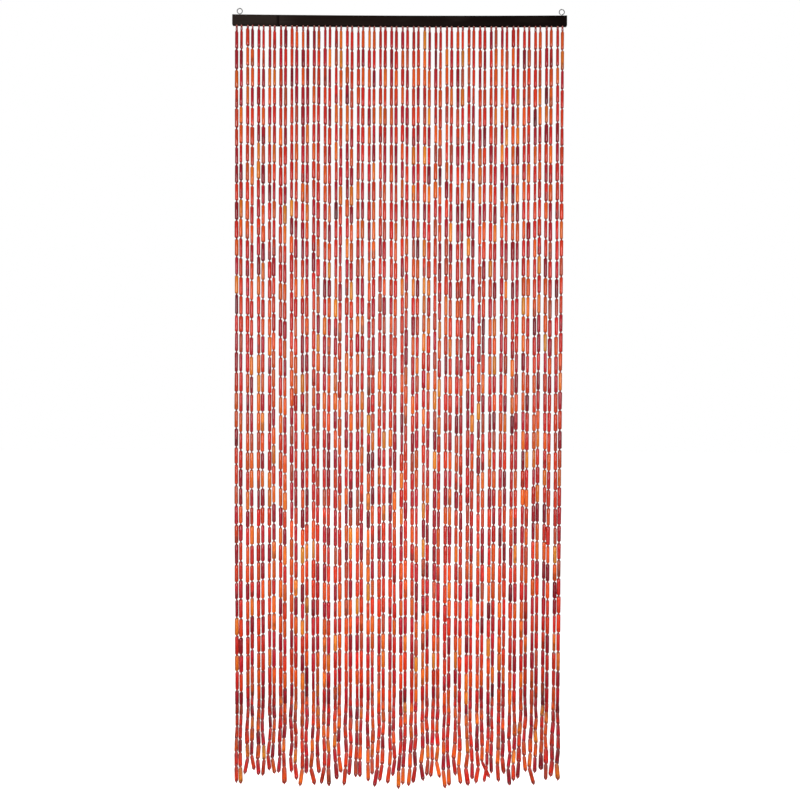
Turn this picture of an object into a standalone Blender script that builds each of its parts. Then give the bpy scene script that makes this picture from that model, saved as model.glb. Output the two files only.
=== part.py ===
"""Bamboo bead door curtain.

A stained header bar hangs on two screw eyes. Sixty strands of bamboo tubes, set in thirty
pairs, hang from the bar's underside down to the floor. Each strand swings back a little on
its way down, folds at a joint where it meets the floor, and lies forward on it.

Metres, +Z up, X along the bar, the front towards -Y. The origin is the middle of the bar's
back face.
"""
import math
import random

import bmesh
import bpy
from mathutils import Vector

# Header bar
BAR_LENGTH = 0.900
BAR_HEIGHT = 0.027
BAR_THICKNESS = 0.008
BAR_SAG = 0.0021
BAR_STATIONS = 13
BAR_EDGE = 0.0008

# Screw eyes
EYE_PLACES = {"screw_eye_left": -0.4307, "screw_eye_right": 0.4366}
EYE_OUTER = 0.0162
EYE_WIRE = 0.0022
EYE_RISE = 0.0113
SHANK_DEPTH = 0.016
FIT_GAP = 0.0003

# Strands
STRANDS = 60
STRAND_SETS = 6
PAIR_PITCH = 0.0298
PAIR_GAP_TOP = 0.0129
PAIR_GAP_LOW = 0.0116
BEAD_ACROSS = 0.0075
BEAD_PITCH = 0.0513
KNEE_PITCH = 0.0470
BEADS_HANGING = 36
BEADS_LYING = 6
LINK_ACROSS = 0.0022
LINK_SHORTEST = 0.006
LINK_LONGEST = 0.014
SHOULDER = 0.0012

# Backing strips under the bar, one for each set of strands
STRIP_THICKNESS = 0.0010
STRIP_DEPTH = 0.0045
STRIP_GAP = 0.0012
STRIP_STATIONS = 4

# The way the strands hang. Shares run from 0 at the bar to 1 at the floor.
FLOOR = -1.8780
STRAND_PLANE = -BAR_THICKNESS / 2
PAIRS_CLOSE_BY = 0.33
SWING_BACK = 0.062
SWING_SPREAD = 0.024
SWING_START = 0.40
KNEE_KICK = 0.010
MEETING = 1.38
NARROWING = 0.015
SWAY = 0.0006
SWAY_TURN = 9.0
LENGTH_WANDER = 0.0040
WANDER_TOP = 0.75
WANDER_LOW = 1.35
PATH_SAMPLES = 180
SEED = 67

# The way they lie: how far each tube may turn aside, from the fold to the loose end
TURN_REACH = (0.0010, 0.0020, 0.0025, 0.0030, 0.0035, 0.0085)
TURN_MEMORY = 0.6
WIDENING = 0.3
LEAST_SPACING = 0.0095
LEAST_NUDGE = 0.25
SETTLING_ROUNDS = 80

# One pair of neighbours lies crossed: the second strand's last tube rests on the first's
CROSSED = 45
CROSSED_OVER = 46
CROSSED_REACH = 0.0150
CROSSING_LIFT = 0.0079

# The joints that the plain solids follow, counted from the bar
MODELLED_JOINTS = (0, 9, 18, 24, 29, 32, 34, 35, 36, 37, 38, 39, 40, 41, 42)

COLLECTION = "bamboo_door_curtain"


def sag(x):
    """How far the bar lies below its ends' level at a place along it."""
    return BAR_SAG * (1.0 - (2.0 * x / BAR_LENGTH) ** 2)


def column(strand):
    """Where a strand leaves the bar, and which side of its pair it is on."""
    middle = (strand // 2 - (STRANDS // 2 - 1) / 2.0) * PAIR_PITCH
    side = -1.0 if strand % 2 == 0 else 1.0
    return middle, side


def drawn(y, share):
    """How the strands' spacing changes with their place in depth and down the drop."""
    return (1.0 + (y - STRAND_PLANE) / MEETING) * (1.0 - NARROWING * share ** 2)


def swing(share):
    """The swing back at a share of the drop, from none to all of it at the floor."""
    late = max(0.0, (share - SWING_START) / (1.0 - SWING_START))
    return late ** 2


def kick(share):
    """The last hanging tube leans back more than the ones above it."""
    return max(0.0, (share - 1.0) * BEADS_HANGING + 1.0)


def hanging_path(strand, draw):
    """A strand's centre line from the bar's underside to the floor."""
    middle, side = column(strand)
    back = SWING_BACK + draw.uniform(-SWING_SPREAD, SWING_SPREAD)
    phase = draw.uniform(0.0, 2.0 * math.pi)
    top = -BAR_HEIGHT / 2 - sag(middle)
    bottom = FLOOR + BEAD_ACROSS / 2
    path = []
    for sample in range(PATH_SAMPLES + 1):
        share = sample / PATH_SAMPLES
        y = STRAND_PLANE + back * swing(share) + KNEE_KICK * kick(share)
        closed = min(1.0, share / PAIRS_CLOSE_BY)
        gap = PAIR_GAP_TOP + (PAIR_GAP_LOW - PAIR_GAP_TOP) * closed
        wave = SWAY * math.sin(phase + SWAY_TURN * share) * math.sin(math.pi * share)
        x = (middle + side * gap / 2) * drawn(y, share) + wave
        path.append(Vector((x, y, top + (bottom - top) * share)))
    return path


def along_path(path, wanted):
    """The points at the wanted lengths along a path."""
    points = []
    travelled = 0.0
    step = 1
    for length in wanted:
        stretch = (path[step] - path[step - 1]).length
        while step < len(path) - 1 and travelled + stretch < length:
            travelled += stretch
            step += 1
            stretch = (path[step] - path[step - 1]).length
        share = min(1.0, (length - travelled) / stretch)
        points.append(path[step - 1].lerp(path[step], share))
    return points


def hanging_joints(strand, draw):
    """The joints between the hanging tubes, from the first tube's top to the floor."""
    path = hanging_path(strand, draw)
    whole = sum((b - a).length for a, b in zip(path, path[1:]))
    link = draw.uniform(LINK_SHORTEST, LINK_LONGEST)
    pitch = (whole - link) / BEADS_HANGING
    wander = [0.0]
    for tube in range(BEADS_HANGING):
        reach = WANDER_TOP + (WANDER_LOW - WANDER_TOP) * tube / BEADS_HANGING
        wander.append(wander[-1] + reach * draw.uniform(-LENGTH_WANDER, LENGTH_WANDER))
    lengths = []
    for joint in range(BEADS_HANGING + 1):
        tied = wander[joint] - wander[-1] * joint / BEADS_HANGING
        lengths.append(link + pitch * joint + tied)
    return along_path(path, lengths)


def lying_joints(strand, knee, draw):
    """The joints of the tubes that lie on the floor, before neighbours push them apart."""
    middle, side = column(strand)
    home = middle + side * PAIR_GAP_LOW / 2
    joints = [knee]
    turn = 0.0
    y = knee.y
    for tube in range(BEADS_LYING):
        turn = turn * TURN_MEMORY + draw.uniform(-TURN_REACH[tube], TURN_REACH[tube])
        y -= KNEE_PITCH if tube == 0 else BEAD_PITCH
        fan = drawn(y, 1.0 - WIDENING * (tube + 1) / BEADS_LYING)
        joints.append(Vector((home * fan + turn, y, knee.z)))
    return joints


def place_at(joints, y):
    """A lying strand's point at a depth, or None past its ends."""
    for near, far in zip(joints[1:], joints):
        if near.y <= y <= far.y:
            return far.lerp(near, (y - far.y) / (near.y - far.y))
    return None


def nudge(joints, y, amount):
    """Moves a lying strand sideways near a depth, its knee excepted."""
    for place in range(1, len(joints)):
        far, near = joints[place - 1], joints[place]
        if near.y <= y <= far.y:
            share = (y - far.y) / (near.y - far.y)
            near.x += amount * max(share, LEAST_NUDGE)
            if place > 1:
                far.x += amount * (1.0 - share)
            return


def even_lengths(joints):
    """Sets the tubes' steps forward so that each keeps its length as it turns."""
    for place in range(1, len(joints)):
        pitch = KNEE_PITCH if place == 1 else BEAD_PITCH
        sideways = joints[place].x - joints[place - 1].x
        joints[place].y = joints[place - 1].y - math.sqrt(pitch ** 2 - sideways ** 2)


def settle(lying):
    """Pushes neighbours on the floor apart until each has room for its tubes."""
    neighbours = list(zip(lying, lying[1:]))
    neighbours.append((lying[CROSSED], lying[CROSSED_OVER + 1]))
    for _ in range(SETTLING_ROUNDS):
        for left, right in neighbours:
            for y in [joint.y for joint in left[1:] + right[1:]]:
                a, b = place_at(left, y), place_at(right, y)
                if a is None or b is None or abs(b.z - a.z) > BEAD_ACROSS:
                    continue
                push = max(0.0, LEAST_SPACING - (b.x - a.x)) / 2
                nudge(left, y, -push)
                nudge(right, y, push)
        for joints in lying:
            even_lengths(joints)


def cross(lying):
    """Lays the last tubes of two neighbours over each other, one lifted by the other."""
    under, over = lying[CROSSED], lying[CROSSED_OVER]
    under[-1].x = under[-2].x + CROSSED_REACH
    over[-1].x = over[-2].x - CROSSED_REACH
    for joint in over[-2:]:
        joint.z += CROSSING_LIFT


def all_joints():
    """Every strand's joints, from its first tube's top to its last tube's end."""
    draw = random.Random(SEED)
    hanging = [hanging_joints(strand, draw) for strand in range(STRANDS)]
    lying = [lying_joints(strand, hanging[strand][-1], draw) for strand in range(STRANDS)]
    cross(lying)
    settle(lying)
    return [hang + lie[1:] for hang, lie in zip(hanging, lying)]


def finish(name, colour, roughness, metallic=0.0):
    """A plain Principled material."""
    material = bpy.data.materials.new(name)
    material.use_nodes = True
    shader = material.node_tree.nodes["Principled BSDF"]
    shader.inputs["Base Color"].default_value = (*colour, 1.0)
    shader.inputs["Roughness"].default_value = roughness
    shader.inputs["Metallic"].default_value = metallic
    return material


def add_object(name, bm, material, collection):
    """Puts a finished bmesh in the scene as an object."""
    mesh = bpy.data.meshes.new(name)
    bmesh.ops.recalc_face_normals(bm, faces=bm.faces[:])
    bm.to_mesh(mesh)
    bm.free()
    if material:
        mesh.materials.append(material)
    item = bpy.data.objects.new(name, mesh)
    collection.objects.link(item)
    return item


def add_cutter(name, bm, cutters):
    """A body that only cuts or joins others, kept as a wire guide."""
    item = add_object(name, bm, None, cutters)
    item.hide_render = True
    item.display_type = "WIRE"
    return item


def combine(item, other, operation):
    """Cuts or joins one body with another by an exact Boolean."""
    boolean = item.modifiers.new(other.name, "BOOLEAN")
    boolean.operation = operation
    boolean.solver = "EXACT"
    boolean.object = other


def upright_cylinder(radius, low, high, x, y, sides):
    """A closed upright cylinder as a bmesh."""
    bm = bmesh.new()
    bmesh.ops.create_cone(bm, cap_ends=True, segments=sides, radius1=radius, radius2=radius,
                          depth=high - low)
    bmesh.ops.translate(bm, vec=(x, y, (low + high) / 2), verts=bm.verts[:])
    return bm


def block(length, depth, height, stations):
    """A block with its long sides divided, centred on the origin."""
    bm = bmesh.new()
    bmesh.ops.create_cube(bm, size=1.0)
    bmesh.ops.scale(bm, vec=(length, depth, height), verts=bm.verts[:])
    long_edges = []
    for edge in bm.edges:
        if abs(edge.verts[0].co.x - edge.verts[1].co.x) > length / 2:
            long_edges.append(edge)
    bmesh.ops.subdivide_edges(bm, edges=long_edges, cuts=stations - 1, use_grid_fill=True)
    return bm


def build_bar(collection, cutters, material):
    """The slat: straight seen from above, a little bowed down in the middle."""
    bm = block(BAR_LENGTH, BAR_THICKNESS, BAR_HEIGHT, BAR_STATIONS)
    for vert in bm.verts:
        vert.co.y += STRAND_PLANE
        vert.co.z -= sag(vert.co.x)
    bar = add_object("header_bar", bm, material, collection)
    bevel = bar.modifiers.new("worn edges", "BEVEL")
    bevel.width = BAR_EDGE
    bevel.segments = 1
    bevel.limit_method = "ANGLE"
    bevel.angle_limit = math.radians(60.0)
    for name, x in EYE_PLACES.items():
        top = BAR_HEIGHT / 2 - sag(x)
        hole = upright_cylinder(EYE_WIRE / 2 + FIT_GAP, top - SHANK_DEPTH - FIT_GAP,
                                top + BAR_HEIGHT, x, STRAND_PLANE, 12)
        combine(bar, add_cutter(name + "_hole", hole, cutters), "DIFFERENCE")


def build_eye(name, x, collection, cutters, material):
    """A ring of wire with its shank down in the bar."""
    top = BAR_HEIGHT / 2 - sag(x)
    middle = top + EYE_RISE
    ring_radius = (EYE_OUTER - EYE_WIRE) / 2
    bpy.ops.mesh.primitive_torus_add(major_segments=24, minor_segments=8,
                                     major_radius=ring_radius, minor_radius=EYE_WIRE / 2,
                                     location=(x, STRAND_PLANE, middle),
                                     rotation=(math.radians(90.0), 0.0, 0.0))
    eye = bpy.context.object
    eye.name = name
    eye.data.name = name
    eye.data.materials.append(material)
    for owner in eye.users_collection:
        owner.objects.unlink(eye)
    collection.objects.link(eye)
    eye.data.shade_smooth()
    shank = upright_cylinder(EYE_WIRE / 2, top - SHANK_DEPTH, middle - ring_radius,
                             x, STRAND_PLANE, 10)
    combine(eye, add_cutter(name + "_shank", shank, cutters), "UNION")


def square_rings(points, widths):
    """Square sections along a bent line, mitred where it turns."""
    rings = []
    last = len(points) - 1
    for place, point in enumerate(points):
        before = points[max(place, 1)] - points[max(place, 1) - 1]
        after = points[min(place, last - 1) + 1] - points[min(place, last - 1)]
        along = after.normalized()
        mitre = (before.normalized() + along).normalized()
        across = (Vector((1, 0, 0)) - along * along.x).normalized()
        outward = across.cross(along)
        ring = []
        for a, b in ((-1, -1), (1, -1), (1, 1), (-1, 1)):
            offset = (across * a + outward * b) * widths[place] / 2
            ring.append(point + offset - along * (offset.dot(mitre) / along.dot(mitre)))
        rings.append(ring)
    return rings


def strip_top(x):
    """The upper side of a backing strip, just under the bar."""
    return -BAR_HEIGHT / 2 - sag(x) - FIT_GAP


def add_strand(bm, joints):
    """One strand as a closed body: its wire link at the bar, then its tubes in one bent bar."""
    first = joints[0]
    root = Vector((first.x, first.y, strip_top(first.x) - STRIP_THICKNESS / 2))
    shoulder = first + (joints[1] - first).normalized() * SHOULDER
    points = [root, first, shoulder] + [joints[k] for k in MODELLED_JOINTS[1:]]
    widths = [LINK_ACROSS, LINK_ACROSS] + [BEAD_ACROSS] * (len(points) - 2)
    rings = [[bm.verts.new(corner) for corner in ring] for ring in square_rings(points, widths)]
    for upper, lower in zip(rings, rings[1:]):
        for k in range(4):
            bm.faces.new((upper[k], upper[k - 1], lower[k - 1], lower[k]))
    bm.faces.new(rings[0])
    bm.faces.new(rings[-1][::-1])


def build_strand_set(number, joints, collection, cutters, material):
    """Ten strands, fused at their roots to a narrow strip under the bar."""
    roots = [strand[0].x for strand in joints]
    left = roots[0] - (PAIR_PITCH - PAIR_GAP_TOP) / 2 + STRIP_GAP / 2
    right = roots[-1] + (PAIR_PITCH - PAIR_GAP_TOP) / 2 - STRIP_GAP / 2
    strip = block(right - left, STRIP_DEPTH, STRIP_THICKNESS, STRIP_STATIONS)
    for vert in strip.verts:
        vert.co.x += (left + right) / 2
        vert.co.y += STRAND_PLANE
        vert.co.z += strip_top(vert.co.x) - STRIP_THICKNESS / 2
    strands = bmesh.new()
    for strand in joints:
        add_strand(strands, strand)
    name = "strand_set_" + str(number)
    backing = add_object(name, strip, material, collection)
    combine(backing, add_cutter(name + "_strands", strands, cutters), "UNION")


def new_collection(name):
    """A collection in the scene."""
    collection = bpy.data.collections.new(name)
    bpy.context.scene.collection.children.link(collection)
    return collection


def build():
    """The whole curtain."""
    for item in list(bpy.data.objects):
        bpy.data.objects.remove(item)
    collection = new_collection(COLLECTION)
    cutters = new_collection("cutters")
    wood = finish("stained_wood", (0.022, 0.014, 0.012), 0.55)
    steel = finish("steel_wire", (0.42, 0.42, 0.43), 0.35, 1.0)
    bamboo = finish("dyed_bamboo", (0.48, 0.035, 0.018), 0.30)
    build_bar(collection, cutters, wood)
    for name, x in EYE_PLACES.items():
        build_eye(name, x, collection, cutters, steel)
    joints = all_joints()
    each = STRANDS // STRAND_SETS
    for number in range(STRAND_SETS):
        members = joints[number * each:(number + 1) * each]
        build_strand_set(number + 1, members, collection, cutters, bamboo)


build()
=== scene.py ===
# %% [markdown]
# # A bamboo bead door curtain
# Sixty strands of dyed bamboo tubes hang in pairs from a stained slat, reach the floor and lie
# forward on it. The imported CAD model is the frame: it says where the slat, the screw eyes and
# the strands are. Each step below makes one of the real pieces in that frame, in metres, with
# +Z up and the front towards -Y.

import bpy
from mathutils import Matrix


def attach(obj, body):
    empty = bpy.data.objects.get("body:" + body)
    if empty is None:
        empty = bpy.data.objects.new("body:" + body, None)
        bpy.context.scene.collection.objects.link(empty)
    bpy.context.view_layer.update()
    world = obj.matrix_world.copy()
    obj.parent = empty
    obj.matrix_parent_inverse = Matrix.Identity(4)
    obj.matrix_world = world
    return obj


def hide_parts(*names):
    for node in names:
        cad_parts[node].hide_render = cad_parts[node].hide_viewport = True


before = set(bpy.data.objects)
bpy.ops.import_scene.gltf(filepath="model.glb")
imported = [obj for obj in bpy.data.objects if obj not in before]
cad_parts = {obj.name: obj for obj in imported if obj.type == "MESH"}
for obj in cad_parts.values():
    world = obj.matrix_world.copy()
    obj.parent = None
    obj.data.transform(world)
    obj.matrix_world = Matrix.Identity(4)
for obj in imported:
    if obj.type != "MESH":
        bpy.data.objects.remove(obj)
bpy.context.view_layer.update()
print("CAD nodes:", sorted(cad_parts))

# %% Modules
import math
import random

import bpy
import numpy as np
from mathutils import Vector

# %% [markdown]
# ## Helpers for modelling
# The frame arrives selected, and an operator acts on all that is selected, so every new shape
# starts with nothing selected. In edit mode a short rule picks the faces or edges to work on,
# by where they are or which way they face. Picking by a rule keeps working when a size
# changes, which picking by number doesn't.

# %% Select and edit
def start_shape():
    """Leaves edit mode and deselects everything, before a primitive is added."""
    if bpy.context.object and bpy.context.object.mode == "EDIT":
        bpy.ops.object.mode_set(mode="OBJECT")
    bpy.ops.object.select_all(action="DESELECT")


def pick_faces(item, rule):
    """Opens an object in edit mode with the faces that a rule picks selected."""
    if item.mode != "EDIT":
        bpy.ops.object.mode_set(mode="EDIT")
    bpy.ops.mesh.select_mode(type="FACE")
    bpy.ops.mesh.select_all(action="DESELECT")
    bpy.ops.object.mode_set(mode="OBJECT")
    for face in item.data.polygons:
        face.select = rule(face)
    bpy.ops.object.mode_set(mode="EDIT")


def end_shape(item, smooth_degrees):
    """Closes edit mode and sets the angle past which an edge stays sharp."""
    bpy.ops.mesh.select_all(action="SELECT")
    bpy.ops.mesh.normals_make_consistent(inside=False)
    bpy.ops.object.mode_set(mode="OBJECT")
    bpy.ops.object.shade_smooth_by_angle(angle=math.radians(smooth_degrees))
    return item


def apply_place(item):
    """Moves an object's place, turn and scale into its mesh."""
    start_shape()
    item.select_set(True)
    bpy.context.view_layer.objects.active = item
    bpy.ops.object.transform_apply(location=True, rotation=True, scale=True)


def apply_modifiers(item):
    """Applies an object's modifiers in order."""
    bpy.context.view_layer.objects.active = item
    for modifier in list(item.modifiers):
        bpy.ops.object.modifier_apply(modifier=modifier.name)


print("Modelling helpers are ready")

# %% [markdown]
# ## Where the strands hang
# The curtain's layout is a rule, not a drawing: a strand leaves the slat, drops, and swings
# back a little on its lower half. The CAD source used the same rule and the same random draws,
# so its solids and these tubes fall on the same lines. Only the rule's named sizes are needed.

# %% Sizes of the slat and the strands
BAR_LENGTH = 0.900
BAR_HEIGHT = 0.027
BAR_THICKNESS = 0.008
BAR_SAG = 0.0021
STRANDS = 60
STRAND_SETS = 6
PAIR_PITCH = 0.0298
PAIR_GAP_TOP = 0.0129
PAIR_GAP_LOW = 0.0116
BEAD_ACROSS = 0.0075
BEAD_PITCH = 0.0513
KNEE_PITCH = 0.0470
BEADS_HANGING = 36
BEADS_LYING = 6
LINK_SHORTEST = 0.006
LINK_LONGEST = 0.014

# %% Sizes of the way they hang
FLOOR = -1.8780
STRAND_PLANE = -BAR_THICKNESS / 2
PAIRS_CLOSE_BY = 0.33
SWING_BACK = 0.062
SWING_SPREAD = 0.024
SWING_START = 0.40
KNEE_KICK = 0.010
MEETING = 1.38
NARROWING = 0.015
SWAY = 0.0006
SWAY_TURN = 9.0
LENGTH_WANDER = 0.0040
WANDER_TOP = 0.75
WANDER_LOW = 1.35
PATH_SAMPLES = 180
SEED = 67


# %% The centre line of a hanging strand
def sag(x):
    """How far the bar lies below its ends' level at a place along it."""
    return BAR_SAG * (1.0 - (2.0 * x / BAR_LENGTH) ** 2)


def column(strand):
    """Where a strand leaves the bar, and which side of its pair it is on."""
    middle = (strand // 2 - (STRANDS // 2 - 1) / 2.0) * PAIR_PITCH
    side = -1.0 if strand % 2 == 0 else 1.0
    return middle, side


def drawn(y, share):
    """How the strands' spacing changes with their place in depth and down the drop."""
    return (1.0 + (y - STRAND_PLANE) / MEETING) * (1.0 - NARROWING * share ** 2)


def swing(share):
    """The swing back at a share of the drop, from none to all of it at the floor."""
    late = max(0.0, (share - SWING_START) / (1.0 - SWING_START))
    return late ** 2


def kick(share):
    """The last hanging tube leans back more than the ones above it."""
    return max(0.0, (share - 1.0) * BEADS_HANGING + 1.0)


def hanging_path(strand, draw):
    """A strand's centre line from the bar's underside to the floor."""
    middle, side = column(strand)
    back = SWING_BACK + draw.uniform(-SWING_SPREAD, SWING_SPREAD)
    phase = draw.uniform(0.0, 2.0 * math.pi)
    top = -BAR_HEIGHT / 2 - sag(middle)
    bottom = FLOOR + BEAD_ACROSS / 2
    path = []
    for sample in range(PATH_SAMPLES + 1):
        share = sample / PATH_SAMPLES
        y = STRAND_PLANE + back * swing(share) + KNEE_KICK * kick(share)
        closed = min(1.0, share / PAIRS_CLOSE_BY)
        gap = PAIR_GAP_TOP + (PAIR_GAP_LOW - PAIR_GAP_TOP) * closed
        wave = SWAY * math.sin(phase + SWAY_TURN * share) * math.sin(math.pi * share)
        x = (middle + side * gap / 2) * drawn(y, share) + wave
        path.append(Vector((x, y, top + (bottom - top) * share)))
    return path


# %% The joints of a hanging strand
def along_path(path, wanted):
    """The points at the wanted lengths along a path."""
    points = []
    travelled = 0.0
    step = 1
    for length in wanted:
        stretch = (path[step] - path[step - 1]).length
        while step < len(path) - 1 and travelled + stretch < length:
            travelled += stretch
            step += 1
            stretch = (path[step] - path[step - 1]).length
        share = min(1.0, (length - travelled) / stretch)
        points.append(path[step - 1].lerp(path[step], share))
    return points


def hanging_joints(strand, draw):
    """The joints between the hanging tubes, from the first tube's top to the floor."""
    path = hanging_path(strand, draw)
    whole = sum((b - a).length for a, b in zip(path, path[1:]))
    link = draw.uniform(LINK_SHORTEST, LINK_LONGEST)
    pitch = (whole - link) / BEADS_HANGING
    wander = [0.0]
    for tube in range(BEADS_HANGING):
        reach = WANDER_TOP + (WANDER_LOW - WANDER_TOP) * tube / BEADS_HANGING
        wander.append(wander[-1] + reach * draw.uniform(-LENGTH_WANDER, LENGTH_WANDER))
    lengths = []
    for joint in range(BEADS_HANGING + 1):
        tied = wander[joint] - wander[-1] * joint / BEADS_HANGING
        lengths.append(link + pitch * joint + tied)
    return along_path(path, lengths)


print("A strand hangs from z", round(-BAR_HEIGHT / 2, 4), "to", FLOOR)

# %% [markdown]
# ## How they lie on the floor
# Where a strand meets the floor it folds at a joint and runs forward. Each tube turns a little
# aside at random, and then neighbours are pushed apart until their tubes have room, as they
# push each other on a real floor. One pair lies crossed, one tube up on the other.

# %% Sizes of the way they lie
TURN_REACH = (0.0010, 0.0020, 0.0025, 0.0030, 0.0035, 0.0085)
TURN_MEMORY = 0.6
WIDENING = 0.3
LEAST_SPACING = 0.0095
LEAST_NUDGE = 0.25
SETTLING_ROUNDS = 80
CROSSED = 45
CROSSED_OVER = 46
CROSSED_REACH = 0.0150
CROSSING_LIFT = 0.0079


# %% The joints of a lying strand
def lying_joints(strand, knee, draw):
    """The joints of the tubes that lie on the floor, before neighbours push them apart."""
    middle, side = column(strand)
    home = middle + side * PAIR_GAP_LOW / 2
    joints = [knee]
    turn = 0.0
    y = knee.y
    for tube in range(BEADS_LYING):
        turn = turn * TURN_MEMORY + draw.uniform(-TURN_REACH[tube], TURN_REACH[tube])
        y -= KNEE_PITCH if tube == 0 else BEAD_PITCH
        fan = drawn(y, 1.0 - WIDENING * (tube + 1) / BEADS_LYING)
        joints.append(Vector((home * fan + turn, y, knee.z)))
    return joints


def place_at(joints, y):
    """A lying strand's point at a depth, or None past its ends."""
    for near, far in zip(joints[1:], joints):
        if near.y <= y <= far.y:
            return far.lerp(near, (y - far.y) / (near.y - far.y))
    return None


def nudge(joints, y, amount):
    """Moves a lying strand sideways near a depth, its knee excepted."""
    for place in range(1, len(joints)):
        far, near = joints[place - 1], joints[place]
        if near.y <= y <= far.y:
            share = (y - far.y) / (near.y - far.y)
            near.x += amount * max(share, LEAST_NUDGE)
            if place > 1:
                far.x += amount * (1.0 - share)
            return


# %% Room for every lying tube
def even_lengths(joints):
    """Sets the tubes' steps forward so that each keeps its length as it turns."""
    for place in range(1, len(joints)):
        pitch = KNEE_PITCH if place == 1 else BEAD_PITCH
        sideways = joints[place].x - joints[place - 1].x
        joints[place].y = joints[place - 1].y - math.sqrt(pitch ** 2 - sideways ** 2)


def settle(lying):
    """Pushes neighbours on the floor apart until each has room for its tubes."""
    neighbours = list(zip(lying, lying[1:]))
    neighbours.append((lying[CROSSED], lying[CROSSED_OVER + 1]))
    for _ in range(SETTLING_ROUNDS):
        for left, right in neighbours:
            for y in [joint.y for joint in left[1:] + right[1:]]:
                a, b = place_at(left, y), place_at(right, y)
                if a is None or b is None or abs(b.z - a.z) > BEAD_ACROSS:
                    continue
                push = max(0.0, LEAST_SPACING - (b.x - a.x)) / 2
                nudge(left, y, -push)
                nudge(right, y, push)
        for joints in lying:
            even_lengths(joints)


def cross(lying):
    """Lays the last tubes of two neighbours over each other, one lifted by the other."""
    under, over = lying[CROSSED], lying[CROSSED_OVER]
    under[-1].x = under[-2].x + CROSSED_REACH
    over[-1].x = over[-2].x - CROSSED_REACH
    for joint in over[-2:]:
        joint.z += CROSSING_LIFT


def all_joints():
    """Every strand's joints, from its first tube's top to its last tube's end."""
    draw = random.Random(SEED)
    hanging = [hanging_joints(strand, draw) for strand in range(STRANDS)]
    lying = [lying_joints(strand, hanging[strand][-1], draw) for strand in range(STRANDS)]
    cross(lying)
    settle(lying)
    return [hang + lie[1:] for hang, lie in zip(hanging, lying)]


JOINTS = all_joints()
print("Strands:", len(JOINTS), "joints in each:", len(JOINTS[0]))

# %% [markdown]
# ## Camera
# The photograph is taken from straight in front, with the lens level at a little below half
# height, so the slat's underside shows and the strands on the floor run towards the lens. The
# distance follows from how much the tubes' spacing grows from the fold to the loose ends. The
# camera is turned by a fifth of a degree, as the slat's slope in the picture shows.

# %% Camera
EYE_DISTANCE = 1.38
EYE_HEIGHT = -1.0213
EYE_SIDE = 0.0045
PICTURE_ROLL = -0.2
LENS = 23.06

camera_data = bpy.data.cameras.new("camera")
camera_data.lens = LENS
camera_data.sensor_width = 36.0
camera = bpy.data.objects.new("camera", camera_data)
bpy.context.scene.collection.objects.link(camera)
camera.location = (EYE_SIDE, STRAND_PLANE - EYE_DISTANCE, EYE_HEIGHT)
camera.rotation_euler = (math.radians(90.0), math.radians(PICTURE_ROLL), 0.0)
bpy.context.scene.camera = camera
print("Camera at", [round(value, 3) for value in camera.location])

# %% [markdown]
# ## Shader maths
# A pattern is a sum of masks. Written with nodes alone it is hard to read, so a small class
# wraps a socket, and an expression on values adds the Math nodes by itself. One method of the
# other class adds any other node: its settings first, and then what goes into its sockets.

# %% Values that change over a surface
class Value:
    """A number or colour that changes over a surface, with sums written as in Python."""

    def __init__(self, finish, socket):
        self.finish = finish
        self.socket = socket

    def combined(self, operation, first, second):
        return self.finish.node("ShaderNodeMath", {"operation": operation}, {0: first, 1: second})

    def __add__(self, other):
        return self.combined("ADD", self, other)

    def __sub__(self, other):
        return self.combined("SUBTRACT", self, other)

    def __rsub__(self, other):
        return self.combined("SUBTRACT", other, self)

    def __mul__(self, other):
        return self.combined("MULTIPLY", self, other)

    __radd__ = __add__
    __rmul__ = __mul__


class Finish:
    """A material whose nodes are added by one method and by sums of values."""

    def __init__(self, name):
        self.material = bpy.data.materials.new(name)
        self.material.use_nodes = True
        self.tree = self.material.node_tree
        self.shader = self.tree.nodes["Principled BSDF"]

    def fill(self, socket, value):
        """Links a value to a socket, or sets the socket to a plain number or colour."""
        if isinstance(value, Value):
            self.tree.links.new(value.socket, socket)
        else:
            socket.default_value = value

    def node(self, kind, settings=None, inputs=None, output=0):
        """Adds a node and returns one of its outputs."""
        node = self.tree.nodes.new(kind)
        for name, value in (settings or {}).items():
            setattr(node, name, value)
        for key, value in (inputs or {}).items():
            self.fill(node.inputs[key], value)
        return Value(self, node.outputs[output])

    def surface(self, **inputs):
        """Sets the shader's own sockets, with _ for the space in a socket's name."""
        for name, value in inputs.items():
            self.fill(self.shader.inputs[name.replace("_", " ")], value)

    def stretched(self, vector, scales):
        """A vector with each direction scaled on its own."""
        return self.node("ShaderNodeVectorMath", {"operation": "MULTIPLY"}, {0: vector, 1: scales})

    def noise(self, vector, scales, detail=2.0, roughness=0.5):
        """Noise from 0 to 1 whose grain has its own scale in each direction."""
        place = self.stretched(vector, scales)
        return self.node("ShaderNodeTexNoise", {"noise_dimensions": "3D"},
                         {"Vector": place, "Scale": 1.0, "Detail": detail, "Roughness": roughness})

    def step(self, value, low, high, to_low=0.0, to_high=1.0):
        """A smooth step of a value between two limits."""
        return self.node("ShaderNodeMapRange", {"interpolation_type": "SMOOTHSTEP"},
                         {"Value": value, "From Min": low, "From Max": high,
                          "To Min": to_low, "To Max": to_high})

    def blend(self, share, first, second, kind="MIX"):
        """Two colours mixed by a share."""
        return self.node("ShaderNodeMix", {"data_type": "RGBA", "blend_type": kind},
                         {0: share, 6: first, 7: second}, output=2)

    def bump(self, height, distance, strength):
        """A bump from a height that runs from 0 to 1."""
        return self.node("ShaderNodeBump", None,
                         {"Height": height, "Distance": distance, "Strength": strength})


def paint(red, green, blue):
    """A colour from 0 to 255, as seen on a screen, in the renderer's linear light."""
    linear = []
    for part in (red, green, blue):
        share = part / 255.0
        linear.append(share / 12.92 if share <= 0.04045 else ((share + 0.055) / 1.055) ** 2.4)
    return (*linear, 1.0)


print("Shader helpers are ready")

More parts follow.
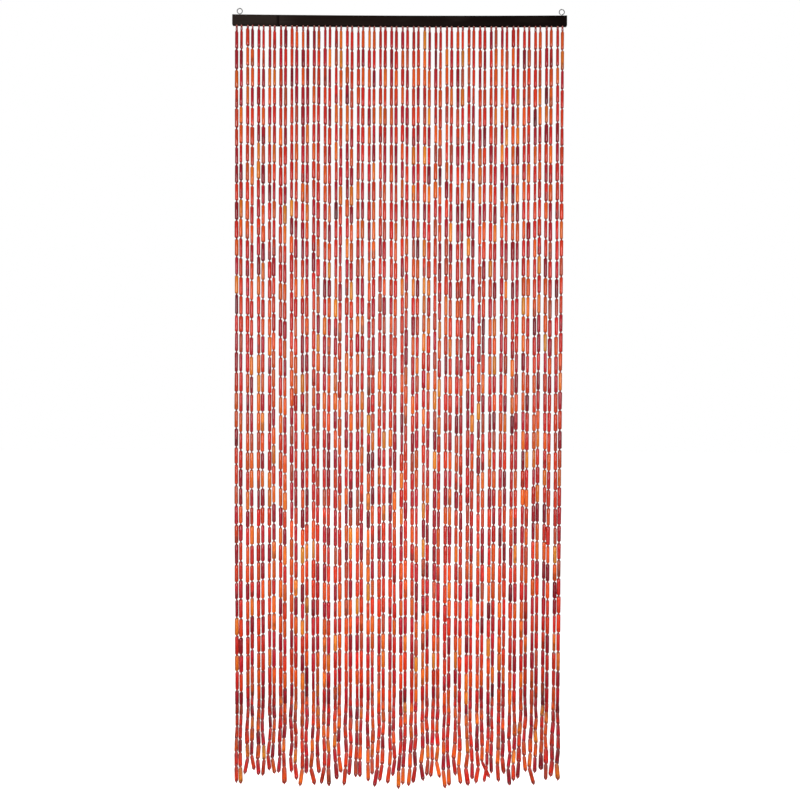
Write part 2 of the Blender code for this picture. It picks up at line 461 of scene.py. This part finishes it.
# %% [markdown]
# ## Finish of the dyed bamboo
# A bamboo culm has straight fibres, and dye takes to them unevenly: it leaves fine streaks
# along the tube, soft clouds, and a darker soak at both cut ends. On a few tubes one half is
# darker too. A thin clear lacquer lies on top. The pattern has to run along each tube,
# whichever way the tube points, so it doesn't use the object's place: every tube carries its
# own coordinates in an attribute, and its own dye.

# %% Where a point is on its tube
bamboo = Finish("lacquered_bamboo")
tube_place = bamboo.node("ShaderNodeAttribute", {"attribute_name": "tube_place"}, output=1)
tube_facts = bamboo.node("ShaderNodeAttribute", {"attribute_name": "tube_facts"}, output=1)
dye = bamboo.node("ShaderNodeAttribute", {"attribute_name": "dye"}, output=0)
along = bamboo.node("ShaderNodeSeparateXYZ", None, {0: tube_facts}, output=0)
half = bamboo.node("ShaderNodeSeparateXYZ", None, {0: tube_facts}, output=1)
banded = bamboo.node("ShaderNodeSeparateXYZ", None, {0: tube_facts}, output=2)
from_end = half - bamboo.node("ShaderNodeMath", {"operation": "ABSOLUTE"}, {0: along})
print("Bamboo nodes for a tube's own coordinates:", len(bamboo.tree.nodes))

# %% Streaks, clouds and soak of the dye
FIBRE_SCALES = (1100.0, 1100.0, 45.0)
CLOUD_SCALES = (130.0, 130.0, 60.0)
PALEST_SHADE = 0.68
SHADE_SWING = 0.42
END_SOAK = 0.0050
DARK_HALF_FROM = 0.90
DARK_HALF_SURE = 0.96
DARK_HALF_EDGE = (-0.004, 0.006)

fibres = bamboo.noise(tube_place, FIBRE_SCALES, 3.0, 0.6)
clouds = bamboo.noise(tube_place, CLOUD_SCALES, 2.0)
soaked = bamboo.step(from_end, 0.0, END_SOAK, 1.0, 0.0)
band = bamboo.step(banded + 0.4 * (clouds - 0.5), DARK_HALF_FROM, DARK_HALF_SURE)
band = band * bamboo.step(along, *DARK_HALF_EDGE)
shade = PALEST_SHADE + SHADE_SWING * fibres + SHADE_SWING * clouds
print("Bamboo nodes with its dye's pattern:", len(bamboo.tree.nodes))

# %% Dyed and lacquered bamboo
SOAKED_TINT = (0.42, 0.34, 0.34)
SOAKED_SHARE = 0.8
DARK_HALF_SHARE = 0.7
FIBRE_HEIGHT = 0.00012

shaded = bamboo.node("ShaderNodeCombineXYZ", None, {0: shade, 1: shade, 2: shade})
streaked = bamboo.node("ShaderNodeVectorMath", {"operation": "MULTIPLY"}, {0: dye, 1: shaded})
dark = bamboo.node("ShaderNodeVectorMath", {"operation": "MULTIPLY"},
                   {0: streaked, 1: SOAKED_TINT})
colour = bamboo.blend(soaked * SOAKED_SHARE, streaked, dark)
colour = bamboo.blend(band * DARK_HALF_SHARE, colour, dark)
bamboo.surface(Base_Color=colour, Roughness=0.42 + 0.16 * fibres, Specular_IOR_Level=0.1,
               Coat_Weight=1.0, Coat_IOR=1.54, Coat_Roughness=0.10,
               Normal=bamboo.bump(fibres, FIBRE_HEIGHT, 0.4))
print("Bamboo nodes:", len(bamboo.tree.nodes))

# %% [markdown]
# ## Finish of the steel wire
# The screw eyes are bright drawn steel, a little dull from handling. A metal has no colour
# below its surface, so only its brightness, its roughness and a faint drawing mark vary.

# %% Steel wire
MARK_SCALES = (900.0, 900.0, 250.0)
MARK_HEIGHT = 0.00004

steel = Finish("drawn_steel")
steel_place = steel.node("ShaderNodeTexCoord", output=3)
marks = steel.noise(steel_place, MARK_SCALES, 3.0)
steel_colour = steel.blend(marks, paint(112, 112, 114), paint(190, 190, 192))
steel.surface(Base_Color=steel_colour, Metallic=1.0, Roughness=0.28 + 0.2 * marks,
              Normal=steel.bump(marks, MARK_HEIGHT, 0.4))
print("Steel nodes:", len(steel.tree.nodes))

# %% [markdown]
# ## Finishes of the links and pins
# The links went through the dye and the lacquer with the tubes, so their steel has a brown-red
# film that is rubbed through in places. The pins' round heads have a pale enamel.

# %% Link wire
RUB_SCALES = (700.0, 700.0, 700.0)

link_wire = Finish("lacquered_wire")
link_place = link_wire.node("ShaderNodeTexCoord", output=3)
rubbed = link_wire.step(link_wire.noise(link_place, RUB_SCALES, 2.0), 0.62, 0.75)
film = link_wire.blend(rubbed, paint(166, 30, 18), paint(160, 92, 76))
link_wire.surface(Base_Color=film, Metallic=0.05 + 0.6 * rubbed, Roughness=0.50 - 0.1 * rubbed)
print("Link wire nodes:", len(link_wire.tree.nodes))

# %% Pale pins
MOTTLE_SCALES = (500.0, 500.0, 500.0)

pale = Finish("pale_pin")
pale_place = pale.node("ShaderNodeTexCoord", output=3)
mottled = pale.noise(pale_place, MOTTLE_SCALES, 2.0)
pale.surface(Base_Color=pale.blend(mottled, paint(226, 172, 152), paint(238, 208, 194)),
             Roughness=0.35 + 0.2 * mottled)
print("Pin nodes:", len(pale.tree.nodes))

# %% [markdown]
# ## Finish of the stained slat
# The slat is softwood stained almost black. Its grain runs along X, so the noise is stretched
# that way. Its colour is paler from the left end up to a dark band. Just past the band it turns
# darker, and from there it darkens further towards the right end.
# Soft patches of the stain are thinner all along.

# %% Grain of the wood
GRAIN_SCALES = (14.0, 420.0, 420.0)
PORE_SCALES = (90.0, 1800.0, 1800.0)
PATCH_SCALES = (9.0, 40.0, 40.0)

wood = Finish("dark_stained_wood")
wood_place = wood.node("ShaderNodeTexCoord", output=3)
along_bar = wood.node("ShaderNodeSeparateXYZ", None, {0: wood_place}, output=0)
grain = wood.noise(wood_place, GRAIN_SCALES, 4.0, 0.6)
pores = wood.noise(wood_place, PORE_SCALES, 2.0)
patches = wood.noise(wood_place, PATCH_SCALES, 2.0)
print("Wood nodes for its grain:", len(wood.tree.nodes))

# %% Stained wood
DARK_BAND_AT = -0.3255
DARK_BAND_WIDTH = 0.0090
DARK_BAND_END = (DARK_BAND_AT + 0.001, DARK_BAND_AT + 0.003)
DARK_BAND_SHARE = 0.95
FADE_PAST_BAND = 0.06
DEEPEST_AT = 0.45
STAIN_PALE = paint(49, 40, 36)
STAIN_PAST_BAND = paint(34, 23, 19)
STAIN_DEEP = paint(15, 6, 4)
WOOD_HEIGHT = 0.00015

# Paler from the left end up to a dark band, and darker past it towards the right end.
stain = wood.blend(wood.step(along_bar, DARK_BAND_AT, DEEPEST_AT), STAIN_PAST_BAND, STAIN_DEEP)
stain = wood.blend(wood.step(along_bar, DARK_BAND_AT, DARK_BAND_AT + FADE_PAST_BAND), STAIN_PALE, stain)
dark_band = wood.step(along_bar, DARK_BAND_AT - DARK_BAND_WIDTH, DARK_BAND_AT)
dark_band = dark_band * wood.step(along_bar, *DARK_BAND_END, 1.0, 0.0)
stain = wood.blend(dark_band * DARK_BAND_SHARE, stain, STAIN_DEEP)
stain = wood.blend(wood.step(grain, 0.45, 0.75) * 0.5, stain, STAIN_DEEP)
stain = wood.blend(wood.step(patches, 0.55, 0.8) * 0.35, stain, STAIN_PALE)
wood.surface(Base_Color=stain, Roughness=0.50 + 0.25 * grain, Specular_IOR_Level=0.06,
             Normal=wood.bump(grain + 0.5 * pores, WOOD_HEIGHT, 0.6))
print("Wood nodes:", len(wood.tree.nodes))

# %% [markdown]
# ## The slat
# A planed strip with slightly rounded edges, sagging two millimetres under the strands'
# weight. A box is divided along its length, bent by moving each station down, and its edges
# are rounded with a Bevel modifier, because a perfectly sharp edge never catches the light.

# %% Slat
BAR_CUTS = 23
BAR_EDGE = 0.0009

start_shape()
bpy.ops.mesh.primitive_cube_add(size=1.0)
slat = bpy.context.object
slat.name = "header_bar_slat"
slat.scale = (BAR_LENGTH, BAR_THICKNESS, BAR_HEIGHT)
apply_place(slat)
bpy.ops.object.mode_set(mode="EDIT")
for cut in range(1, BAR_CUTS + 1):
    bpy.ops.mesh.select_all(action="SELECT")
    station = BAR_LENGTH * (cut / (BAR_CUTS + 1) - 0.5)
    bpy.ops.mesh.bisect(plane_co=(station, 0.0, 0.0), plane_no=(1.0, 0.0, 0.0))
bpy.ops.object.mode_set(mode="OBJECT")
for vert in slat.data.vertices:
    vert.co.y += STRAND_PLANE
    vert.co.z -= sag(vert.co.x)
print("Slat vertices before its edges are rounded:", len(slat.data.vertices))

# %% Rounded edges of the slat
rounding = slat.modifiers.new("rounded edges", "BEVEL")
rounding.width = BAR_EDGE
rounding.segments = 3
rounding.limit_method = "ANGLE"
rounding.angle_limit = math.radians(60.0)
apply_modifiers(slat)
bpy.ops.object.shade_smooth_by_angle(angle=math.radians(40.0))
slat.data.materials.append(wood.material)
print("Slat faces:", len(slat.data.polygons))

# %% [markdown]
# ## The screw eyes
# A screw eye is one wire: a threaded shank that turns into a ring, whose end stops just short
# of the shank. A round section is spun most of the way round the ring's middle. The shank is a
# cylinder extruded ridge by ridge down to its point, and a Boolean joins the two.

# %% Sizes of the screw eyes
EYE_PLACES = {"screw_eye_left": -0.4307, "screw_eye_right": 0.4366}
EYE_OUTER = 0.0162
EYE_WIRE = 0.0022
EYE_RISE = 0.0113
EYE_TURN = math.radians(338.0)
PLAIN_SHANK = 0.004
THREADS = 7
THREAD_PITCH = 0.0013
THREAD_STEPS = ((0.35, 0.72), (0.25, 1.0), (0.25, 1.3192), (0.15, 1.0))
POINT_LENGTH = 0.0018
POINT_WIDTH = 0.1
print("The eyes' clear hole:", round(EYE_OUTER - 2 * EYE_WIRE, 4))

# %% Ring of a screw eye
start_shape()
ring_radius = (EYE_OUTER - EYE_WIRE) / 2
bpy.ops.mesh.primitive_circle_add(vertices=12, radius=EYE_WIRE / 2, fill_type="NGON",
                                  location=(0.0, 0.0, -ring_radius),
                                  rotation=(0.0, math.radians(90.0), 0.0))
eye = bpy.context.object
eye.name = "screw_eye"
apply_place(eye)
bpy.ops.object.mode_set(mode="EDIT")
bpy.ops.mesh.select_all(action="SELECT")
bpy.ops.mesh.spin(steps=40, angle=EYE_TURN, center=(0.0, 0.0, 0.0), axis=(0.0, 1.0, 0.0))
bpy.ops.mesh.select_all(action="DESELECT")
bpy.ops.mesh.select_mode(type="EDGE")
bpy.ops.mesh.select_non_manifold()
bpy.ops.mesh.edge_face_add()
end_shape(eye, 40.0)
print("Ring vertices:", len(eye.data.vertices))

# %% Threaded shank
start_shape()
shank_top = -ring_radius
plain_end = -EYE_RISE - PLAIN_SHANK
bpy.ops.mesh.primitive_cylinder_add(vertices=12, radius=EYE_WIRE / 2, depth=shank_top - plain_end,
                                    location=(0.0, 0.0, (shank_top + plain_end) / 2))
shank = bpy.context.object
apply_place(shank)
pick_faces(shank, lambda face: face.normal.z < -0.9)
level = plain_end
for thread in range(THREADS):
    for drop, scale in THREAD_STEPS:
        level -= THREAD_PITCH * drop
        bpy.ops.mesh.extrude_region_move(
            TRANSFORM_OT_translate={"value": (0.0, 0.0, -THREAD_PITCH * drop)})
        bpy.ops.transform.resize(value=(scale, scale, 1.0), center_override=(0.0, 0.0, level))
bpy.ops.mesh.extrude_region_move(TRANSFORM_OT_translate={"value": (0.0, 0.0, -POINT_LENGTH)})
bpy.ops.transform.resize(value=(POINT_WIDTH, POINT_WIDTH, 1.0),
                         center_override=(0.0, 0.0, level - POINT_LENGTH))
end_shape(shank, 40.0)
print("Shank reaches down to", round(min(vert.co.z for vert in shank.data.vertices), 4))

# %% Ring and shank as one wire
joining = eye.modifiers.new("shank", "BOOLEAN")
joining.operation = "UNION"
joining.solver = "EXACT"
joining.object = shank
start_shape()
eye.select_set(True)
apply_modifiers(eye)
bpy.ops.object.shade_smooth_by_angle(angle=math.radians(40.0))
bpy.data.objects.remove(shank)
eye.data.materials.append(steel.material)
print("Faces of one eye:", len(eye.data.polygons))

# %% Both eyes in their places
eyes = {}
for name, x in EYE_PLACES.items():
    copy = bpy.data.objects.new(name + "_wire", eye.data.copy())
    bpy.context.scene.collection.objects.link(copy)
    copy.location = (x, STRAND_PLANE, BAR_HEIGHT / 2 - sag(x) + EYE_RISE)
    apply_place(copy)
    eyes[name] = copy
bpy.data.objects.remove(eye)
print("Screw eyes:", sorted(eyes))

# %% [markdown]
# ## One bamboo tube
# A tube is a cut of thin bamboo: a round wall, ends tumbled smooth, and a bore for the wire.
# It is repeated 2520 times, so it has only 58 faces: eight sides, two rings of shoulder at
# each end and a short bore. Smooth shading rounds it. Both ends are worked at once, because
# inset with a depth moves each face along its own normal.

# %% Model the tube
TUBE_ACROSS = 0.0086
TUBE_LENGTH = 0.0466
SHOULDER = 0.0032
SHOULDER_DROP = 0.0010
FIRST_RING = 0.67
MOUTH = 0.0021
BORE_DEPTH = 0.0030
BORE_NARROWING = 0.0003


def is_end(face):
    """Picks the flat ends of a shape that stands along Z."""
    return abs(face.normal.z) > 0.9 and len(face.vertices) > 4


start_shape()
bpy.ops.mesh.primitive_cylinder_add(vertices=8, radius=TUBE_ACROSS / 2,
                                    depth=TUBE_LENGTH - 2 * SHOULDER)
tube = bpy.context.object
pick_faces(tube, is_end)
bpy.ops.mesh.inset(thickness=SHOULDER_DROP, depth=SHOULDER * FIRST_RING, use_individual=True)
bpy.ops.mesh.inset(thickness=TUBE_ACROSS / 2 - SHOULDER_DROP - MOUTH,
                   depth=SHOULDER * (1.0 - FIRST_RING), use_individual=True)
bpy.ops.mesh.inset(thickness=BORE_NARROWING, depth=-BORE_DEPTH, use_individual=True)
end_shape(tube, 50.0)
tube_points = np.array([vert.co[:] for vert in tube.data.vertices])
tube_faces = [list(face.vertices) for face in tube.data.polygons]
bpy.data.objects.remove(tube)
print("Tube faces:", len(tube_faces), "length:", round(np.ptp(tube_points[:, 2]), 4))

# %% [markdown]
# ## One wire loop
# A wire runs through each tube and comes out of both ends as a small loop, and the loops of
# neighbouring tubes hang in each other, a quarter turn apart. A square section is spun around
# the loop, and both of its ends are extruded up into the bore. A loop is repeated 5100 times
# and its wire is one and a half millimetres thick, so four sides are enough.

# %% Model the loop
LOOP_RADIUS = 0.00145
LOOP_WIRE = 0.0015
LOOP_SETBACK = 0.0006
LOOP_OPENING = math.radians(150.0)
STEM_SHIFT = 0.00062
STEM_END = 0.0042

start_shape()
bpy.ops.mesh.primitive_circle_add(vertices=4, radius=LOOP_WIRE / 2 * math.sqrt(2.0),
                                  fill_type="NGON", location=(0.0, 0.0, LOOP_RADIUS),
                                  rotation=(0.0, math.radians(90.0), 0.0))
loop = bpy.context.object
apply_place(loop)
loop.rotation_euler = (0.0, LOOP_OPENING / 2, 0.0)
apply_place(loop)
bpy.ops.object.mode_set(mode="EDIT")
bpy.ops.mesh.select_all(action="SELECT")
bpy.ops.mesh.spin(steps=6, angle=LOOP_OPENING - 2 * math.pi, center=(0.0, 0.0, 0.0),
                  axis=(0.0, 1.0, 0.0))
bpy.ops.mesh.select_all(action="DESELECT")
bpy.ops.mesh.select_mode(type="EDGE")
bpy.ops.mesh.select_non_manifold()
bpy.ops.mesh.edge_face_add()
bpy.ops.object.mode_set(mode="OBJECT")
print("Loop faces before its stems:", len(loop.data.polygons))

# %% Stems of the loop
def is_cut_end(face, side):
    """Picks the end of the spun wire on one side of the loop's opening."""
    if face.center.z <= 0.0 or face.center.x * side <= 0.0:
        return False
    round_the_loop = Vector((-face.center.z, 0.0, face.center.x)).normalized()
    return abs(face.normal.dot(round_the_loop)) > 0.95


for side in (-1.0, 1.0):
    pick_faces(loop, lambda face: is_cut_end(face, side))
    bpy.ops.mesh.extrude_region_move(
        TRANSFORM_OT_translate={"value": (-side * STEM_SHIFT, 0.0, STEM_END - LOOP_RADIUS)})
end_shape(loop, 60.0)
loop_points = np.array([vert.co[:] for vert in loop.data.vertices])
loop_faces = [list(face.vertices) for face in loop.data.polygons]
bpy.data.objects.remove(loop)
print("Loop faces:", len(loop_faces), "from", loop_points.min(0).round(5), "to",
      loop_points.max(0).round(5))

# %% [markdown]
# ## One pin
# Each strand hangs from a small round-headed pin under the slat. A short cylinder is inset
# downwards twice, which domes its head.

# %% Model the pin
PIN_ACROSS = 0.0032
PIN_HEIGHT = 0.0017
DOME_STEPS = ((0.14, 0.35), (0.22, 0.15))

start_shape()
bpy.ops.mesh.primitive_cylinder_add(vertices=10, radius=PIN_ACROSS / 2, depth=PIN_HEIGHT / 2,
                                    location=(0.0, 0.0, -PIN_HEIGHT / 4))
pin = bpy.context.object
apply_place(pin)
pick_faces(pin, lambda face: face.normal.z < -0.9)
for inwards, down in DOME_STEPS:
    bpy.ops.mesh.inset(thickness=PIN_ACROSS * inwards, depth=PIN_HEIGHT * down)
end_shape(pin, 50.0)
pin_points = np.array([vert.co[:] for vert in pin.data.vertices])
pin_faces = [list(face.vertices) for face in pin.data.polygons]
bpy.data.objects.remove(pin)
print("Pin faces:", len(pin_faces))

# %% [markdown]
# ## Dyes
# The tubes are threaded in no order: mostly reds and orange-reds, with some burgundy and a
# little amber. Each tube draws a dye from a weighted list and then strays a little from it, as
# a dye bath does.

# %% Dyes and their shares
DYES = (
    (paint(200, 36, 24), 20),
    (paint(208, 54, 20), 22),
    (paint(218, 82, 20), 18),
    (paint(226, 106, 26), 8),
    (paint(226, 128, 36), 3),
    (paint(182, 28, 38), 14),
    (paint(188, 72, 44), 5),
    (paint(152, 20, 32), 10),
    (paint(128, 16, 28), 2),
)
DYE_STRAY = 0.14


def draw_dye(draw):
    """A dye for one tube."""
    base = draw.choices([dye for dye, share in DYES], weights=[share for dye, share in DYES])[0]
    depth = 1.0 + draw.uniform(-DYE_STRAY, DYE_STRAY)
    return [part * depth * (1.0 + draw.uniform(-DYE_STRAY, DYE_STRAY)) for part in base[:3]]


print("Dyes:", len(DYES))

# %% [markdown]
# ## Thread the strands
# Copies of the tube and the loops are set from joint to joint. Thousands of objects would be
# slow, so the copies of ten strands are joined in one mesh from arrays: the points of a shape
# are turned and moved all at once, and the faces are numbered on. No two tubes are the same:
# their thickness, taper and ends stray. As in the photograph, they are thinner near the slat,
# and on the floor they stop further short of the joints. A tube is never so thick that it
# would meet a tube beside it.

# %% Set copies of a shape
def turned(along, roll):
    """A turn that lays a shape's Z along a direction, rolled about it."""
    along = along.normalized()
    across = Vector((1.0, 0.0, 0.0))
    across = (across - along * along.dot(across)).normalized()
    outward = along.cross(across)
    sideways = across * math.cos(roll) + outward * math.sin(roll)
    return np.array([sideways, along.cross(sideways), along])


def joined(name, points, faces, material):
    """One mesh object of many copies of a shape, from each copy's points."""
    count = len(points[0])
    numbered = []
    for number in range(len(points)):
        for face in faces:
            numbered.append([corner + number * count for corner in face])
    mesh = bpy.data.meshes.new(name)
    mesh.from_pydata(np.concatenate(points).tolist(), [], numbered)
    mesh.materials.append(material)
    piece = bpy.data.objects.new(name, mesh)
    bpy.context.scene.collection.objects.link(piece)
    start_shape()
    piece.select_set(True)
    bpy.context.view_layer.objects.active = piece
    bpy.ops.object.shade_smooth_by_angle(angle=math.radians(50.0))
    return piece


# %% Thickness of each tube
TUBE_TOP = 0.0082
TUBE_LOW = 0.0104
TUBE_THINNEST = 0.0070
TUBE_THICKEST = 0.0111
TUBE_STRAY = 0.00065
ROOM_STEPS = 12
ROOM_SPARE = 0.0002


def nearest(point, start, end):
    """The distance from a point to a stretch of line."""
    line = end - start
    share = min(1.0, max(0.0, (point - start).dot(line) / line.dot(line)))
    return (point - start - line * share).length


def room(strand, place):
    """How thick a tube can be before it meets a tube of a strand beside it."""
    start, end = JOINTS[strand][place], JOINTS[strand][place + 1]
    points = [start.lerp(end, step / ROOM_STEPS) for step in range(ROOM_STEPS + 1)]
    gaps = []
    for joints in JOINTS[max(0, strand - 2):strand] + JOINTS[strand + 1:strand + 3]:
        beside = joints[max(0, place - 2):place + 4]
        for far, near in zip(beside, beside[1:]):
            gaps.extend(nearest(point, far, near) for point in points)
    return min(gaps) - ROOM_SPARE


def thickness(strand, place, draw):
    """A tube's thickness: less near the bar, and straying from tube to tube."""
    usual = TUBE_TOP + (TUBE_LOW - TUBE_TOP) * math.sqrt(min(1.0, place / BEADS_HANGING))
    across = max(TUBE_THINNEST, draw.gauss(usual, TUBE_STRAY))
    return min(across, TUBE_THICKEST, room(strand, place))


# %% Set one tube
TAPER = 0.05
PLAY = 0.0003


def tube_spot(start, end, ends, roll, across, lying, draw):
    """The points of one tube between two joints, and its own coordinates."""
    taper = draw.uniform(-TAPER, TAPER)
    along = (end - start).normalized()
    half = ((end - start).length - ends[0] - ends[1]) / 2
    middle = start + along * (ends[0] + half)
    if lying and min(start.z, end.z) < FLOOR + BEAD_ACROSS:
        middle.z += (across - BEAD_ACROSS) / 2
    if not lying:
        middle.x += draw.uniform(-PLAY, PLAY)
        middle.y += draw.uniform(-PLAY, PLAY)
    shape = tube_points.copy()
    shape[:, 2] += np.sign(shape[:, 2]) * (half - TUBE_LENGTH / 2)
    widening = across / TUBE_ACROSS * (1.0 + taper * shape[:, 2] / half)
    shape[:, :2] *= widening[:, None]
    own = shape + [draw.uniform(-1.0, 1.0) for direction in range(3)]
    facts = np.column_stack([shape[:, 2], np.full(len(shape), half),
                             np.full(len(shape), draw.random())])
    dyed = np.tile(draw_dye(draw) + [1.0], (len(shape), 1))
    return shape @ turned(along, roll) + np.array(middle), own, facts, dyed


# %% Set one loop
def loop_spot(joint, along, roll, stem, widening=1.0):
    """The points of one wire loop at a joint, its stems running along a direction."""
    shape = loop_points * [widening, widening, 1.0]
    shape[shape[:, 2] > STEM_END / 2, 2] = stem
    return shape @ turned(along, roll) + np.array(joint + along.normalized() * LOOP_SETBACK)


# %% Thread one strand
END_NEAREST = 0.0004
END_FARTHEST = 0.0021
STRETCHED = 0.0013
STEM_HIDDEN = BORE_DEPTH + 0.0003
TWIST = 0.25
TOP_TURN = 0.5
TOP_WIDENING = 1.3
TOP_HIDDEN = 0.001


def thread_strand(strand, draw, tubes, loops):
    """Adds a strand's tubes and loops to those of its set, and returns its pin's points."""
    joints = JOINTS[strand]
    roll = draw.uniform(0.0, math.pi)
    root = Vector((joints[0].x, joints[0].y, -BAR_HEIGHT / 2 - sag(joints[0].x)))
    rise = root.z - joints[0].z - LOOP_SETBACK + TOP_HIDDEN
    loops.append(loop_spot(joints[0], Vector((0.0, 0.0, 1.0)), draw.uniform(-TOP_TURN, TOP_TURN),
                           rise, TOP_WIDENING))
    for place, (start, end) in enumerate(zip(joints, joints[1:])):
        lying = place >= BEADS_HANGING
        short = STRETCHED if lying else 0.0
        ends = [short + draw.uniform(END_NEAREST, END_FARTHEST) for side in range(2)]
        across = thickness(strand, place, draw)
        tubes.append(tube_spot(start, end, ends, roll, across, lying, draw))
        for joint, way, turn, gap in ((start, end - start, 0.0, ends[0]),
                                      (end, start - end, math.pi / 2, ends[1])):
            stem = gap + STEM_HIDDEN - LOOP_SETBACK
            loops.append(loop_spot(joint, way, roll + turn, stem))
        roll += draw.uniform(-TWIST, TWIST)
    return pin_points + np.array(root)


# %% Thread every set of ten strands
def add_attribute(piece, name, kind, field, values):
    """Stores a value for every point of a piece."""
    attribute = piece.data.attributes.new(name, kind, "POINT")
    attribute.data.foreach_set(field, np.concatenate(values).astype(np.float32).ravel())


draw = random.Random(SEED + 1)
each = STRANDS // STRAND_SETS
tube_pieces = []
link_pieces = []
pins = []
for number in range(STRAND_SETS):
    tubes = []
    loops = []
    for strand in range(number * each, (number + 1) * each):
        pins.append(thread_strand(strand, draw, tubes, loops))
    points, places, facts, dyes = zip(*tubes)
    piece = joined("strand_tubes_" + str(number + 1), points, tube_faces, bamboo.material)
    add_attribute(piece, "tube_place", "FLOAT_VECTOR", "vector", places)
    add_attribute(piece, "tube_facts", "FLOAT_VECTOR", "vector", facts)
    add_attribute(piece, "dye", "FLOAT_COLOR", "color", dyes)
    tube_pieces.append(piece)
    link_pieces.append(joined("strand_links_" + str(number + 1), loops, loop_faces,
                              link_wire.material))
pin_piece = joined("bar_pins", pins, pin_faces, pale.material)
print("Tubes:", sum(len(piece.data.polygons) for piece in tube_pieces) // len(tube_faces),
      "loops:", sum(len(piece.data.polygons) for piece in link_pieces) // len(loop_faces))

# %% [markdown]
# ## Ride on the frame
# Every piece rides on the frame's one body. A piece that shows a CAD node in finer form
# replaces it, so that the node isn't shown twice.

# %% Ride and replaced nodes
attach(slat, "root")
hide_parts("header_bar")
for name, piece in eyes.items():
    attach(piece, "root")
    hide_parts(name)
for number in range(STRAND_SETS):
    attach(tube_pieces[number], "root")
    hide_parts("strand_set_" + str(number + 1))
    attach(link_pieces[number], "root")
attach(pin_piece, "root")

# %% [markdown]
# ## Floor and light
# The floor is white and runs into a white background, lit so brightly that shadows almost
# vanish. The floor glows a little for that. The background is white to the camera and dimmer
# as a light, because a curtain lit from all sides would lose its shading.
# A tall soft light behind the camera gives the tubes dark edges and a bright line down their
# middle. A weaker one lies on the floor and faces up, as a bright floor throws light back,
# and gives the lower tubes their bright line. A narrow one is aimed at the strands on the
# floor, and a wide one behind keeps the curtain's back from going dark.

# %% Floor
FLOOR_SIZE = 14.0
FLOOR_GLOW = 0.87

start_shape()
bpy.ops.mesh.primitive_plane_add(size=FLOOR_SIZE, location=(0.0, 0.0, FLOOR))
floor = bpy.context.object
floor.name = "studio_floor"
paper = Finish("white_floor")
paper.surface(Base_Color=(0.85, 0.85, 0.85, 1.0), Roughness=0.9,
              Emission_Color=(1.0, 1.0, 1.0, 1.0), Emission_Strength=FLOOR_GLOW)
floor.data.materials.append(paper.material)
floor.visible_diffuse = False
floor.visible_glossy = False
print("Floor at z", FLOOR)

# %% Background
AROUND = 0.17

world = bpy.data.worlds.new("studio")
bpy.context.scene.world = world
world.use_nodes = True
around = world.node_tree.nodes["Background"]
around.inputs["Color"].default_value = (1.0, 1.0, 1.0, 1.0)
rays = world.node_tree.nodes.new("ShaderNodeLightPath")
strength = world.node_tree.nodes.new("ShaderNodeMapRange")
strength.inputs["To Min"].default_value = AROUND
strength.inputs["To Max"].default_value = 1.0
world.node_tree.links.new(rays.outputs["Is Camera Ray"], strength.inputs["Value"])
world.node_tree.links.new(strength.outputs["Result"], around.inputs["Strength"])
print("Background lights with a share of", AROUND)

# %% Soft lights
def add_light(name, place, aim, width, height, watts):
    """A soft rectangular light at a place, turned to a point."""
    data = bpy.data.lights.new(name, "AREA")
    data.shape = "RECTANGLE"
    data.size = width
    data.size_y = height
    data.energy = watts
    light = bpy.data.objects.new(name, data)
    bpy.context.scene.collection.objects.link(light)
    light.location = place
    light.rotation_euler = (Vector(aim) - Vector(place)).to_track_quat("-Z", "Y").to_euler()
    return light


add_light("front_light", place=(0.0, -2.3, -0.58), aim=(0.0, 0.0, -0.58),
          width=1.1, height=2.0, watts=43.0)
add_light("floor_bounce", place=(0.0, -1.1, FLOOR + 0.01), aim=(0.0, -1.1, 0.0),
          width=1.0, height=1.6, watts=3.2)
low_light = add_light("low_light", place=(0.0, -1.15, -0.55), aim=(0.0, -0.16, -1.87),
                      width=0.9, height=0.4, watts=1.5)
low_light.data.spread = math.radians(46.0)
add_light("back_light", place=(0.0, 2.6, -1.2), aim=(0.0, 0.0, -1.2),
          width=2.4, height=1.2, watts=9.0)
bpy.context.scene.view_settings.view_transform = "Standard"
print("Lights:", sorted(item.name for item in bpy.data.lights))
